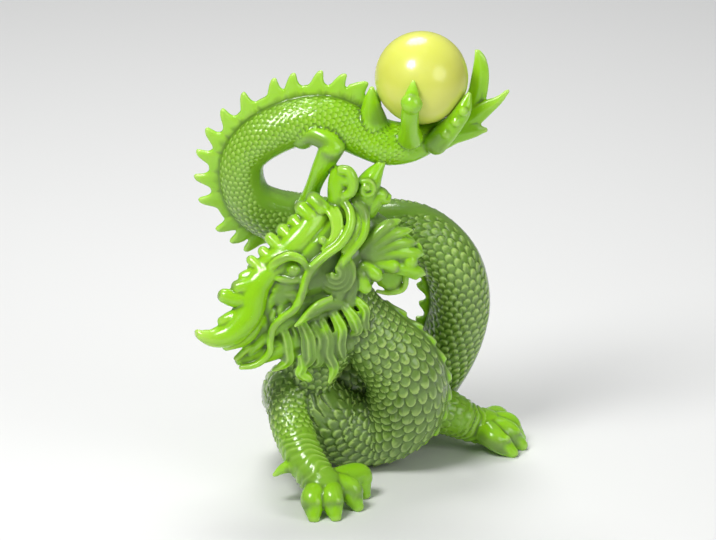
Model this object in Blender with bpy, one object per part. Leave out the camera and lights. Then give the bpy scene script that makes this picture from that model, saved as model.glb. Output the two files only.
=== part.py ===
"""Dragon figurine: one cast dragon, coiled on its feet, that holds a ball up in a hind claw."""

import math

import bmesh
import bpy
import numpy as np
from mathutils import Vector

# Driving dimensions, in metres
FIGURE_HEIGHT = 0.135
BALL_DIAMETER = 0.0268
BALL_GAP = 0.0003
CARVING_GRAIN = 0.00085

# The sculptor's grid: the figure is 135 steps tall, and every form is placed in steps
GRID_HEIGHT = 135
STEP = FIGURE_HEIGHT / GRID_HEIGHT
BALL_RADIUS = BALL_DIAMETER / 2

# The figure is laid out as its front view shows it: across, up the picture, and depth away.
VIEW_TURN = math.radians(27)
VIEW_TILT = math.radians(20)
NEAREST_DEPTH = -40

# Faces and smoothness
DRAGON_FACES = 8300
BALL_SEGMENTS = 32
BALL_RINGS = 16
TUBE_SIDES = 14
STEPS_BETWEEN_POINTS = 6

# The lowest point of the ball above the ground, and its place in the view
BALL_SEAT = 107.6
BALL_ACROSS = 17.6
BALL_DEPTH = 0

# The body from the neck, round the front coil, under the figure, up the right arc,
# behind the head and over the upper arch to the hip: across, up, depth, radius
BODY = (
    (-6.0, 68.6, -4, 8.0),
    (-2.6, 61.0, -4, 8.8),
    (3.4, 53.6, -3, 10.0),
    (10.2, 46.6, -1, 11.2),
    (13.4, 39.2, 1, 11.8),
    (11.2, 31.0, 4.6, 11.8),
    (2.6, 27.4, 7.0, 12.0),
    (-8.0, 28.6, 3, 11.8),
    (-16.4, 34.0, -2, 10.2),
    (-18.6, 37.0, 10, 9.4),
    (-9.0, 31.2, 26, 9.4),
    (5.0, 35.2, 37, 9.4),
    (16.4, 37.0, 36, 8.8),
    (22.6, 43.8, 32, 8.6),
    (27.2, 53.6, 27, 8.8),
    (29.0, 64.0, 22, 8.8),
    (26.4, 74.4, 17, 8.6),
    (19.0, 82.4, 15, 8.0),
    (9.0, 85.4, 14, 7.6),
    (-4.0, 85.0, 14, 7.6),
    (-16.0, 86.4, 12, 8.0),
    (-25.2, 88.4, 9, 7.6),
    (-31.4, 92.4, 7, 6.8),
    (-34.0, 99.0, 6, 6.4),
    (-33.0, 105.6, 5, 6.4),
    (-27.0, 111.2, 4, 7.0),
    (-18.0, 115.0, 3, 7.2),
    (-9.0, 115.6, 2, 7.2),
    (-1.4, 112.6, 1, 7.0),
    (5.6, 109.6, 0, 6.6),
    (12.5, 109.4, 0, 5.4),
    (19.0, 111.0, 1, 4.0),
)

# The side of the body that the spines stand on: index in BODY, then across, up, depth
BACK_SIDE = (
    (0, (0.2, 0.9, 0.4)),
    (2, (0.6, 0.8, 0.1)),
    (4, (1.0, 0.1, 0.1)),
    (5, (0.9, -0.7, 0.1)),
    (6, (0.2, -0.7, 0.7)),
    (8, (-1.0, 0.0, 0.4)),
    (9, (-1.0, 0.2, 0.3)),
    (11, (0.0, 0.6, 0.9)),
    (13, (-0.8, 0.4, 0.3)),
    (15, (-1.0, 0.0, -0.1)),
    (17, (-0.5, -0.7, 0.0)),
    (19, (0.0, -0.2, 1.0)),
    (21, (-0.6, -0.8, 0.2)),
    (23, (-1.0, 0.0, 0.0)),
    (25, (-0.7, 0.8, 0.0)),
    (27, (0.1, 1.0, 0.0)),
    (31, (0.2, 1.0, 0.3)),
)

# The floor of the hollow inside the front coil: across, up, depth, radius
COIL_HOLLOW = (-4.0, 42.0, 14, 12.5)

# Spines: body point of a run's first tip and of its end, height above the skin, web height, gaps between tips
ARCH_SPINE_GAPS = (5.0, 6.0, 11.2, 7.6, 7.9, 7.4, 7.4, 8.0, 9.8, 5.7, 7.9, 7.0, 6.7)
SPINE_RUNS = (
    (2.2, 5.6, 1.6, 0.6, (6.4,)),
    (9.4, 19.8, 3.2, 1.2, (8.0,)),
    (21.08, 29.5, 7.4, 3.0, ARCH_SPINE_GAPS),
)
SPINE_THICKNESS = 1.9


def place(across, up, depth):
    """A point of the front view in the world."""
    height = (up - (depth - NEAREST_DEPTH) * math.sin(VIEW_TILT)) / math.cos(VIEW_TILT)
    x = across * math.cos(VIEW_TURN) + depth * math.sin(VIEW_TURN)
    y = depth * math.cos(VIEW_TURN) - across * math.sin(VIEW_TURN)
    return Vector((x, y, height)) * STEP


def heading(across, up, depth):
    """A direction of the front view in the world."""
    return (place(across, up, depth) - place(0, 0, 0)).normalized()


def smooth_stations(points, steps=STEPS_BETWEEN_POINTS):
    """Points with a radius, joined by a smooth curve through all of them."""
    rows = np.array([tuple(place(*point[:3])) + (point[3] * STEP,) for point in points])
    rows = np.vstack([2 * rows[0] - rows[1], rows, 2 * rows[-1] - rows[-2]])
    stations = []
    for index in range(1, len(rows) - 2):
        before, start, end, after = rows[index - 1 : index + 3]
        for step in range(steps):
            share = step / steps
            linear = (end - before) * share
            square = (2 * before - 5 * start + 4 * end - after) * share**2
            cube = (3 * start - before - 3 * end + after) * share**3
            stations.append(start + (linear + square + cube) / 2)
    stations.append(rows[-2])
    return [(Vector(row[:3]), max(row[3], 0.25 * STEP)) for row in stations]


def tangents(centres):
    """The direction of travel at each centre."""
    last = len(centres) - 1
    ends = [(centres[max(i - 1, 0)], centres[min(i + 1, last)]) for i in range(last + 1)]
    return [(end - start).normalized() for start, end in ends]


def add_ring(mesh, centre, side, other, sides):
    """One ring of corners, an ellipse whose half axes are side and other."""
    corners = []
    for index in range(sides):
        turn = 2 * math.pi * index / sides
        corners.append(mesh.verts.new(centre + side * math.cos(turn) + other * math.sin(turn)))
    return corners


def join_rings(mesh, rings):
    """Faces between the rings, and a cap on each end."""
    for lower, upper in zip(rings, rings[1:]):
        count = len(lower)
        for index in range(count):
            following = (index + 1) % count
            mesh.faces.new((lower[index], lower[following], upper[following], upper[index]))
    mesh.faces.new(rings[0][::-1])
    mesh.faces.new(rings[-1])


def add_tube(mesh, points, broad=None, flatness=1.0, sides=TUBE_SIDES):
    """A rounded limb along the points. Where broad is given, it is flattened across it."""
    stations = smooth_stations(points)
    centres = [centre for centre, radius in stations]
    directions = tangents(centres)
    guide = broad or Vector((0.3, -0.8, 0.52))
    rings = []
    cap = ((-0.86, 0.45), (-0.5, 0.85))
    first, last = stations[0], stations[-1]
    rows = [(first[0] + directions[0] * first[1] * a, first[1] * b, directions[0]) for a, b in cap]
    rows += [(centre, radius, way) for (centre, radius), way in zip(stations, directions)]
    rows += [
        (last[0] - directions[-1] * last[1] * a, last[1] * b, directions[-1])
        for a, b in reversed(cap)
    ]
    for centre, radius, way in rows:
        side = guide - way * guide.dot(way)
        if side.length < 0.05:
            side = way.orthogonal()
        side.normalize()
        other = way.cross(side)
        rings.append(add_ring(mesh, centre, side * radius, other * radius * flatness, sides))
        if broad is None:
            guide = side
    join_rings(mesh, rings)


def add_lump(mesh, across, up, depth, radius):
    """A rounded knob."""
    made = bmesh.ops.create_icosphere(mesh, subdivisions=2, radius=radius * STEP)
    bmesh.ops.translate(mesh, verts=made["verts"], vec=place(across, up, depth))


def body_frame(stations, directions, position):
    """Centre, radius, direction of travel and back direction at a position along BODY."""
    exact = position * STEPS_BETWEEN_POINTS
    index = min(int(exact), len(stations) - 2)
    share = exact - index
    centre = stations[index][0].lerp(stations[index + 1][0], share)
    radius = stations[index][1] * (1 - share) + stations[index + 1][1] * share
    way = directions[index].lerp(directions[index + 1], share).normalized()
    marks = [mark for mark, side in BACK_SIDE]
    sides = np.array([tuple(heading(*side)) for mark, side in BACK_SIDE])
    back = Vector([np.interp(position, marks, sides[:, axis]) for axis in range(3)])
    back = (back - way * back.dot(way)).normalized()
    return centre, radius, way, back


def add_blade(mesh, outline, across_blade, thickness):
    """A thin blade: a flat outline in the world given thickness both ways, thinner at its rim."""
    middle = sum(outline, Vector()) / len(outline)
    half = across_blade * thickness * STEP / 2
    near = [mesh.verts.new(corner - half) for corner in outline]
    far = [mesh.verts.new(corner + half) for corner in outline]
    near_middle = mesh.verts.new(middle - half * 1.2)
    far_middle = mesh.verts.new(middle + half * 1.2)
    count = len(outline)
    for index in range(count):
        following = (index + 1) % count
        mesh.faces.new((near[index], near[following], far[following], far[index]))
        mesh.faces.new((near_middle, near[following], near[index]))
        mesh.faces.new((far_middle, far[index], far[following]))


def back_point(stations, directions, position, lift):
    """A point above the skin on the line of the spines."""
    centre, radius, way, back = body_frame(stations, directions, position)
    return centre + back * (radius + lift * STEP)


def walk_off_tips(stations, directions, run):
    """Where the tips of a run of spines stand along BODY, and how far one step of tip line takes it."""
    first, last, height, web, gaps = run
    stride = 0.02
    positions = [first]
    position = first
    while position < last:
        position += stride
        gap = gaps[(len(positions) - 1) % len(gaps)] * STEP
        from_tip = back_point(stations, directions, positions[-1], height)
        if (back_point(stations, directions, position, height) - from_tip).length >= gap:
            positions.append(position)
    rates = []
    for index, position in enumerate(positions):
        ahead = back_point(stations, directions, position + stride, height)
        rates.append(stride * STEP / (ahead - back_point(stations, directions, position, height)).length)
    return list(zip(positions, rates))


def add_spines(mesh, stations, directions):
    """Rows of hooked spines on a low web along the back, each leaning towards the tail."""
    slope_up = ((-4.7, 0.04), (-3.5, 0.4), (-1.6, 0.84), (-0.2, 1.0))
    hooked_side = ((0.2, 0.98), (0.5, 0.5), (1.1, 0.06))
    for run in SPINE_RUNS:
        height, web = run[2:4]
        web_end = None
        for tip, rate in walk_off_tips(stations, directions, run):
            start = tip - 6 * rate if web_end is None else web_end
            web_end = tip + 1.6 * rate
            shape = [(start, 0.0)]
            shape += [(max(tip + ahead * rate, start), rise) for ahead, rise in slope_up + hooked_side]
            shape += [(web_end, 0.0)]
            outline = []
            for position, rise in shape:
                lift = web + (height - web) * rise
                outline.append(back_point(stations, directions, position, lift))
            for position in (web_end, (start + web_end) / 2, start - 0.3 * rate):
                outline.append(back_point(stations, directions, position, -1.6))
            centre, radius, way, back = body_frame(stations, directions, tip)
            add_blade(mesh, outline, way.cross(back).normalized(), SPINE_THICKNESS)


def add_head(mesh):
    """Skull, muzzle with a lip that curls up, nose knobs, brow, eye and jaw."""
    skull = ((0.5, 79.0, -3, 7.0), (-8.0, 75.0, -7, 8.6), (-17.0, 70.0, -10, 8.0), (-24.5, 65.0, -13, 5.6))
    muzzle = (
        (-21.0, 75.0, -13, 3.2), (-27.0, 72.4, -16, 4.0), (-31.0, 66.0, -19, 4.4), (-34.4, 58.6, -22, 4.2),
        (-38.8, 53.0, -24, 3.7), (-43.4, 52.2, -25, 2.6), (-46.6, 54.4, -26, 0.9),
    )
    crest = (
        (-13.2, 89.8, -5, 3.0), (-15.4, 86.0, -8, 3.9), (-20.2, 80.4, -11, 3.9), (-26.0, 76.0, -13, 3.1),
        (-32.4, 73.2, -14, 0.9),
    )
    jaw = ((-14.0, 60.0, -10, 5.4), (-21.0, 54.6, -13, 4.6), (-27.6, 49.6, -17, 3.4), (-34.6, 45.0, -20, 1.6))
    brow = ((-28.4, 71.6, -19, 1.0), (-24.4, 75.2, -20, 1.5), (-19.8, 75.6, -19.5, 1.4), (-15.8, 72.4, -17, 1.0))
    crown = ((-11.0, 84.0, -5, 5.4), (-3.0, 86.0, -4, 6.4), (5.0, 82.4, -4, 5.6))
    tongue = ((-13.0, 63.0, -11, 6.4), (-21.6, 60.6, -15, 6.0), (-27.4, 56.6, -18, 4.6), (-31.6, 52.0, -20, 3.2))
    throat = ((-17.0, 38.0, -2, 8.0), (-13.0, 46.0, -3, 8.0), (-7.0, 54.0, -4, 8.5))
    for points in (skull, muzzle, crest, jaw, brow, crown, tongue, throat):
        add_tube(mesh, points)
    knobs = (
        (-34.4, 70.6, -18, 2.0), (-37.0, 67.6, -20, 2.5), (-40.0, 64.8, -21, 2.9), (-40.2, 57.8, -23, 1.6),
        (-18.6, 71.8, -19, 2.3), (-10.7, 80.9, -15, 1.6),
    )
    for knob in knobs:
        add_lump(mesh, *knob)


def add_antlers(mesh):
    """Two short antlers: a curled knob and a pointed prong with a side knob."""
    curled = ((-5.4, 88.5, -8, 3.6), (-6.0, 95.0, -8, 3.4), (-5.4, 99.2, -8, 3.2), (-2.9, 95.4, -9.4, 2.3))
    pointed = ((-1.0, 88.5, -6, 4.4), (1.6, 95.0, -6, 4.0), (3.8, 99.4, -5.4, 2.8), (6.9, 103.6, -4, 0.8))
    side_lobe = ((2.0, 90.4, -6, 3.6), (5.2, 93.6, -6, 2.8), (7.4, 92.8, -6, 1.9))
    for points in (curled, pointed, side_lobe):
        add_tube(mesh, points)


def add_mane(mesh):
    """Ear fan, cheek curl, locks of the beard and the long whisker."""
    root = (-2.0, 74.0, -9)
    fan = (
        (58, 16.0, -6), (42, 18.2, -6), (29, 19.2, -6), (18, 19.4, -6), (7, 20.4, -6), (-8, 19.6, -7),
        (-20, 10.0, -9), (-44, 9.0, -11), (-68, 9.6, -12), (-91, 12.6, -13), (-111, 15.4, -14),
    )
    for angle, length, depth in fan:
        turn = math.radians(angle)
        ways = [(length * share * math.cos(turn), length * share * math.sin(turn)) for share in (0.5, 1.0)]
        points = (
            root + (3.6,),
            (root[0] + ways[0][0], root[1] + ways[0][1] + 0.8, (root[2] + depth) / 2 - 1.4, 3.3),
            (root[0] + ways[1][0], root[1] + ways[1][1], depth, 0.9),
        )
        add_tube(mesh, points)
    curl = []
    for index in range(8):
        turn = math.radians(200 - 62 * index)
        reach = 4.6 * (1 - index / 10)
        curl.append((-6.2 + reach * math.cos(turn), 71.0 + reach * math.sin(turn), -16 - 0.2 * index, 1.5))
    add_tube(mesh, curl)
    cheek_leaf = ((-6.0, 63.0, -14, 2.6), (-12.0, 60.4, -17, 2.4), (-18.0, 56.4, -19, 0.8))
    add_tube(mesh, cheek_leaf)
    beard_root = ((-21.0, 55.0, -12, 4.6), (-11.0, 53.6, -10, 5.8), (-1.0, 56.0, -9, 5.4))
    add_tube(mesh, beard_root)
    locks = 8
    for index in range(locks):
        share = index / (locks - 1)
        across = -21.5 + 20.5 * share
        top = 56.0 + 5.6 * share
        length = 9.5 + 9.0 * math.sin(math.pi * min(share * 1.15, 1.0))
        sway = 1.3 * (-1) ** index
        depth = -15.5 + 2.5 * share
        points = (
            (across, top + 2, depth + 2, 2.2),
            (across + sway, top - length * 0.35, depth, 1.9),
            (across - sway, top - length * 0.7, depth + 0.6, 1.6),
            (across + sway * 0.6, top - length, depth + 1.6, 0.6),
        )
        add_tube(mesh, points)
    whisker = (
        (-5.6, 92.6, -10, 1.5), (-2.2, 89.0, -13, 1.6), (-1.6, 85.0, -15, 1.6), (-4.2, 80.6, -17, 1.5),
        (-9.6, 75.8, -18, 1.4), (-14.8, 72.2, -19, 1.4), (-16.2, 66.2, -19, 1.4), (-20.4, 59.6, -19, 1.3),
        (-25.2, 54.2, -19, 1.2), (-25.8, 49.6, -20, 1.2), (-30.0, 45.8, -21, 1.1), (-34.6, 44.0, -21, 0.8),
    )
    add_tube(mesh, whisker)


def add_paw(mesh, wrist, toes):
    """Chunky toes from a wrist, each over a raised knuckle and down to a blunt tip on the ground."""
    for knuckle, tip in toes:
        points = (
            wrist + (4.4,),
            knuckle + (3.2,),
            tuple((high + low) / 2 for high, low in zip(knuckle, tip)) + (2.9,),
            tip + (1.8,),
        )
        add_tube(mesh, points)


def add_front_leg(mesh):
    """The near leg, with ringed forearm, a spur and a paw of four toes."""
    leg = (
        (-19.4, 37.0, -4, 7.8), (-20.2, 29.8, -11, 6.2), (-18.0, 22.8, -18, 5.9), (-14.8, 16.2, -25, 5.6),
        (-10.8, 10.6, -29.5, 5.4),
    )
    add_tube(mesh, leg)
    spur = ((-17.0, 16.0, -26, 2.4), (-21.6, 15.4, -26, 1.7), (-24.6, 13.4, -26, 0.7))
    add_tube(mesh, spur)
    toes = (
        ((-13.6, 7.2, -35.0), (-13.2, 1.2, -38.8)),
        ((-8.2, 7.4, -34.6), (-7.0, 1.5, -38.2)),
        ((-3.2, 9.6, -29.4), (-0.6, 4.3, -30.6)),
        ((-0.6, 13.4, -20.0), (1.4, 7.8, -20.8)),
    )
    add_paw(mesh, (-9.6, 10.4, -27.5), toes)


def add_right_leg(mesh):
    """The far fore leg, reaching out to the right on a flat paw."""
    leg = (
        (13.0, 35.0, 28, 7.6), (19.4, 32.6, 20, 7.4), (26.0, 30.6, 19, 6.6), (31.5, 28.0, 20, 5.6),
        (36.0, 26.8, 21, 5.4),
    )
    add_tube(mesh, leg)
    toes = (
        ((38.6, 23.6, 14.5), (44.4, 19.1, 13.0)),
        ((42.0, 25.6, 18.8), (47.2, 21.2, 18.8)),
        ((42.4, 27.6, 23.8), (46.8, 23.1, 24.4)),
        ((39.6, 29.4, 28.6), (43.4, 25.0, 30.0)),
    )
    add_paw(mesh, (35.4, 26.4, 21.0), toes)


def add_hind_strut(mesh):
    """The bent hind leg that stands on the body behind the head."""
    thigh = ((-16.4, 110.4, 0, 3.6), (-13.6, 111.2, -3, 3.2), (-9.6, 109.6, -5, 3.2), (-7.2, 107.2, -6, 3.0))
    shank = ((-8.4, 106.6, -6, 3.6), (-11.2, 101.2, -4, 2.8), (-13.6, 95.6, -0.5, 2.4), (-15.0, 89.8, 6, 3.8))
    add_tube(mesh, thigh)
    add_tube(mesh, shank)


def grip_point(bearing, latitude, radius):
    """A point on a finger of this radius that lies against the ball."""
    turn = math.radians(bearing)
    rise = math.radians(latitude)
    ground_across = Vector((math.cos(VIEW_TURN), -math.sin(VIEW_TURN), 0))
    ground_away = Vector((math.sin(VIEW_TURN), math.cos(VIEW_TURN), 0))
    out = ground_across * math.cos(turn) + ground_away * math.sin(turn)
    out = out * math.cos(rise) + Vector((0, 0, math.sin(rise)))
    return ball_centre() + out * (BALL_RADIUS + BALL_GAP + radius * STEP * 0.94)


def ball_centre():
    """Where the ball rests in the palm."""
    seat = place(BALL_ACROSS, 0, BALL_DEPTH)
    return Vector((seat.x, seat.y, BALL_SEAT * STEP + BALL_RADIUS))


def view_of(point):
    """Across, up and depth of a world point, the way back from place."""
    flat = point / STEP
    across = flat.x * math.cos(VIEW_TURN) - flat.y * math.sin(VIEW_TURN)
    depth = flat.x * math.sin(VIEW_TURN) + flat.y * math.cos(VIEW_TURN)
    up = flat.z * math.cos(VIEW_TILT) + (depth - NEAREST_DEPTH) * math.sin(VIEW_TILT)
    return across, up, depth


def add_holding_claw(mesh):
    """The palm under the ball and the fingers that hold it."""
    palm = (
        (1.0, 111.0, 0, 6.4), (6.9, 109.0, 0, 6.6), (13.0, 108.6, 0, 5.8), (19.0, 110.4, 1, 4.8),
        (24.5, 112.8, 2, 3.2),
    )
    left_finger = ((4.4, 111.5, -1, 5.0), (3.6, 116.4, -2, 4.0), (3.2, 120.6, -2.5, 2.4), (3.4, 124.1, -2.5, 0.9))
    right_finger = (
        (21.9, 108.9, -3, 3.8), (26.3, 113.8, -5, 3.3), (29.4, 118.4, -6, 2.9), (31.1, 122.4, -6, 0.9),
    )
    for points in (palm, left_finger, right_finger):
        add_tube(mesh, points)
    front_finger = (
        (245, -64, 3.8), (253, -45, 2.8), (257, -22, 2.6), (260, -5, 3.2), (260, 3, 2.0), (260, 12, 0.7),
    )
    back_finger = ((80, -66, 3.2), (80, -40, 2.6), (80, -16, 2.2), (80, 0, 0.9))
    for finger in (front_finger, back_finger):
        add_tube(mesh, [view_of(grip_point(*joint)) + (joint[2],) for joint in finger])


def add_tail_flames(mesh):
    """Three flat flame leaves behind the ball."""
    flames = (
        (
            (23.0, 110.0, 3, 4.0), (29.4, 114.6, 4, 4.4), (33.2, 121.5, 5, 3.3), (34.5, 128.0, 5, 2.9),
            (34.4, 132.6, 5, 2.0), (33.5, 135.3, 5, 0.8),
        ),
        (
            (23.0, 110.4, 2, 3.6), (31.0, 115.0, 3, 3.2), (36.2, 118.8, 3, 2.5), (39.6, 120.9, 3, 1.5),
            (42.4, 123.6, 3, 0.7),
        ),
        ((22.0, 110.0, 2, 3.4), (29.4, 111.8, 2, 2.9), (33.4, 112.4, 2, 2.1), (35.8, 112.5, 2, 1.0)),
    )
    broad = heading(0.7, -0.7, 0)
    for flame in flames:
        add_tube(mesh, flame, broad=broad, flatness=0.6)


def new_object(name, mesh_builder, colour, roughness):
    """A named object with its own material."""
    data = bpy.data.meshes.new(name)
    bmesh.ops.recalc_face_normals(mesh_builder, faces=mesh_builder.faces)
    mesh_builder.to_mesh(data)
    mesh_builder.free()
    finish = bpy.data.materials.new(name + "_finish")
    finish.use_nodes = True
    shader = finish.node_tree.nodes["Principled BSDF"]
    shader.inputs["Base Color"].default_value = colour
    shader.inputs["Roughness"].default_value = roughness
    shader.inputs["Metallic"].default_value = 0.0
    data.materials.append(finish)
    made = bpy.data.objects.new(name, data)
    bpy.context.scene.collection.objects.link(made)
    return made


def settle_modifiers(thing):
    """Turn the object's modifiers into its mesh."""
    bpy.context.view_layer.update()
    evaluated = thing.evaluated_get(bpy.context.evaluated_depsgraph_get())
    result = bpy.data.meshes.new_from_object(evaluated)
    thing.modifiers.clear()
    thing.data = result


def keep_largest_shell(thing):
    """Remove every loose shell and closed bubble but the figure itself."""
    mesh = bmesh.new()
    mesh.from_mesh(thing.data)
    left = set(mesh.verts)
    shells = []
    while left:
        start = left.pop()
        shell = [start]
        queue = [start]
        while queue:
            corner = queue.pop()
            for edge in corner.link_edges:
                other = edge.other_vert(corner)
                if other in left:
                    left.remove(other)
                    shell.append(other)
                    queue.append(other)
        shells.append(shell)
    shells.sort(key=len)
    for shell in shells[:-1]:
        bmesh.ops.delete(mesh, geom=shell, context="VERTS")
    mesh.to_mesh(thing.data)
    mesh.free()


def cut_away(thing, name, mesh_builder):
    """Cut a hidden shape out of the object."""
    cutter = new_object(name, mesh_builder, (0.5, 0.5, 0.5, 1), 0.5)
    cutter.hide_render = True
    cutter.display_type = "WIRE"
    cut = thing.modifiers.new(name, "BOOLEAN")
    cut.operation = "DIFFERENCE"
    cut.solver = "EXACT"
    cut.object = cutter
    return cutter


def build_dragon():
    """The whole cast figure, its forms fused and its underside cut flat."""
    mesh = bmesh.new()
    stations = smooth_stations(BODY)
    directions = tangents([centre for centre, radius in stations])
    add_tube(mesh, BODY, sides=20)
    add_lump(mesh, *COIL_HOLLOW)
    add_spines(mesh, stations, directions)
    add_head(mesh)
    add_antlers(mesh)
    add_mane(mesh)
    add_front_leg(mesh)
    add_right_leg(mesh)
    add_hind_strut(mesh)
    add_holding_claw(mesh)
    add_tail_flames(mesh)
    dragon = new_object("dragon", mesh, (0.16, 0.46, 0.03, 1), 0.22)
    fuse = dragon.modifiers.new("fuse_forms", "REMESH")
    fuse.mode = "VOXEL"
    fuse.voxel_size = CARVING_GRAIN
    settle_modifiers(dragon)
    keep_largest_shell(dragon)
    thin = dragon.modifiers.new("thin_faces", "DECIMATE")
    thin.ratio = DRAGON_FACES / (2 * len(dragon.data.polygons))
    settle_modifiers(dragon)

    ground = bmesh.new()
    block = bmesh.ops.create_cube(ground, size=2 * FIGURE_HEIGHT)
    bmesh.ops.translate(ground, verts=block["verts"], vec=(0, 0, -FIGURE_HEIGHT))
    cutters = [cut_away(dragon, "ground_cutter", ground)]
    hollow = bmesh.new()
    bmesh.ops.create_uvsphere(
        hollow, u_segments=BALL_SEGMENTS, v_segments=BALL_RINGS, radius=BALL_RADIUS + BALL_GAP
    )
    bmesh.ops.translate(hollow, verts=hollow.verts, vec=ball_centre())
    cutters.append(cut_away(dragon, "palm_cutter", hollow))
    settle_modifiers(dragon)
    for cutter in cutters:
        bpy.data.objects.remove(cutter)
    keep_largest_shell(dragon)
    return dragon


def build_ball():
    """The ball that rests in the claw."""
    mesh = bmesh.new()
    bmesh.ops.create_uvsphere(
        mesh, u_segments=BALL_SEGMENTS, v_segments=BALL_RINGS, radius=BALL_RADIUS
    )
    bmesh.ops.translate(mesh, verts=mesh.verts, vec=ball_centre())
    return new_object("ball", mesh, (0.75, 0.76, 0.13, 1), 0.3)


def centre_on_origin(things):
    """Move the figure so that its box is centred over the origin."""
    corners = np.array([tuple(vertex.co) for thing in things for vertex in thing.data.vertices])
    middle = (corners.min(axis=0) + corners.max(axis=0)) / 2
    for thing in things:
        for vertex in thing.data.vertices:
            vertex.co.x -= middle[0]
            vertex.co.y -= middle[1]


def main():
    for thing in list(bpy.data.objects):
        bpy.data.objects.remove(thing)
    dragon = build_dragon()
    ball = build_ball()
    centre_on_origin((dragon, ball))
    for thing in (dragon, ball):
        thing.data.shade_smooth()
        thing.data.set_sharp_from_angle(angle=math.radians(50))


main()
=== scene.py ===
"""Dragon figurine: the carving and finish of a cast resin dragon that holds up a yellow ball."""
import math

import bpy
import numpy as np
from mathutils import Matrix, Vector
from mathutils.bvhtree import BVHTree


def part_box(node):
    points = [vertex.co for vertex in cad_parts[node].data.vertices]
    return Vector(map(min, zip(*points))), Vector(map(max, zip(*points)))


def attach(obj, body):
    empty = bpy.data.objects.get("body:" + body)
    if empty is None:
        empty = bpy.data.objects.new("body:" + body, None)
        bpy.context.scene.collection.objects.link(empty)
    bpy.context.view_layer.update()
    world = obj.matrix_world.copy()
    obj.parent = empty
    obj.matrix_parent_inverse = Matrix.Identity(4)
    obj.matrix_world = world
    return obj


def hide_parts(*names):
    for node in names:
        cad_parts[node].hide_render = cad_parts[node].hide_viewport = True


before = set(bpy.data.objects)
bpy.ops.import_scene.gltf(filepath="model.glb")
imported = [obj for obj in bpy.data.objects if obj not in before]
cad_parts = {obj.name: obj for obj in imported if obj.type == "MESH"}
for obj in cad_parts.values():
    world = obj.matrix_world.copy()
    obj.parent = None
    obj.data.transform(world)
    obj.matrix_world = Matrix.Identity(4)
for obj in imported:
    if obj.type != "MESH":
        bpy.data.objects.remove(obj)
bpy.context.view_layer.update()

# The sculptor's grid: one step is a millimetre, and a point is across, up the front view, and depth away
STEP = 0.001
VIEW_TURN = math.radians(27)
VIEW_TILT = math.radians(20)
NEAREST_DEPTH = -40

# Ball, and how it sits in the claw
BALL_RADIUS = 13.4
BALL_GAP = 0.3
BALL_SEAT = 107.6
BALL_ACROSS = 17.6
BALL_DEPTH = 0

# Fineness of the carving, in steps, and the most triangles that the figure may have
CARVING_GRAIN = 0.34
MOST_TRIANGLES = 196000

# Corners round a limb, and stations from one of its points to the next
TUBE_SIDES = 18
STEPS_BETWEEN_POINTS = 8

# Rounds of averaging over neighbours, for the fused skin and for each measure that the finish reads
SKIN_ROUNDS = 2
THINNESS_ROUNDS = 6
GROOVE_ROUNDS = 3
HOLLOW_ROUNDS = 30

# How far a corner looks into the resin, and the depth that light reaches, in steps
DEEPEST_LOOK = 20.0
LIGHT_REACH = 9

# The body from the neck, round the front coil, under the figure, up the right arc,
# behind the head and over the upper arch to the hip: across, up, depth, radius
BODY = (
    (-6.0, 68.6, -4, 8.0),
    (-2.6, 61.0, -4, 8.8),
    (3.4, 53.6, -3, 10.0),
    (10.2, 46.6, -1, 11.2),
    (13.4, 39.2, 1, 11.8),
    (11.2, 31.0, 4.6, 11.8),
    (2.6, 27.4, 7.0, 12.0),
    (-8.0, 28.6, 3, 11.8),
    (-16.4, 34.0, -2, 10.2),
    (-18.6, 37.0, 10, 9.4),
    (-9.0, 31.2, 26, 9.4),
    (5.0, 35.2, 37, 9.4),
    (16.4, 37.0, 36, 8.8),
    (22.6, 43.8, 32, 8.6),
    (27.2, 53.6, 27, 8.8),
    (29.0, 64.0, 22, 8.8),
    (26.4, 74.4, 17, 8.6),
    (19.0, 82.4, 15, 8.0),
    (9.0, 85.4, 14, 7.6),
    (-4.0, 85.0, 14, 7.6),
    (-16.0, 86.4, 12, 8.0),
    (-25.2, 88.4, 9, 7.6),
    (-31.4, 92.4, 7, 6.8),
    (-34.0, 99.0, 6, 6.4),
    (-33.0, 105.6, 5, 6.4),
    (-27.0, 111.2, 4, 7.0),
    (-18.0, 115.0, 3, 7.2),
    (-9.0, 115.6, 2, 7.2),
    (-1.4, 112.6, 1, 7.0),
    (5.6, 109.6, 0, 6.6),
    (12.5, 109.4, 0, 5.4),
    (19.0, 111.0, 1, 4.0),
)

# The side of the body that the spines stand on: index in BODY, then across, up, depth
BACK_SIDE = (
    (0, (0.2, 0.9, 0.4)),
    (2, (0.6, 0.8, 0.1)),
    (4, (1.0, 0.1, 0.1)),
    (5, (0.9, -0.7, 0.1)),
    (6, (0.2, -0.7, 0.7)),
    (8, (-1.0, 0.0, 0.4)),
    (9, (-1.0, 0.2, 0.3)),
    (11, (0.0, 0.6, 0.9)),
    (13, (-0.8, 0.4, 0.3)),
    (15, (-1.0, 0.0, -0.1)),
    (17, (-0.5, -0.7, 0.0)),
    (19, (0.0, -0.2, 1.0)),
    (21, (-0.6, -0.8, 0.2)),
    (23, (-1.0, 0.0, 0.0)),
    (25, (-0.7, 0.8, 0.0)),
    (27, (0.1, 1.0, 0.0)),
    (31, (0.2, 1.0, 0.3)),
)

# Spines: body point of a run's first tip and of its end, height above the skin, web height, gaps between tips
ARCH_SPINE_GAPS = (5.0, 6.0, 11.2, 7.6, 7.9, 7.4, 7.4, 8.0, 9.8, 5.7, 7.9, 7.0, 6.7)
SPINE_RUNS = (
    (2.2, 5.6, 1.6, 0.6, (6.4,)),
    (9.4, 19.8, 3.2, 1.2, (8.0,)),
    (21.08, 29.5, 7.4, 3.0, ARCH_SPINE_GAPS),
)
SPINE_THICKNESS = 1.9

# The floor of the hollow inside the front coil: across, up, depth, radius
COIL_HOLLOW = (-4.0, 42.0, 14, 12.5)

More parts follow.
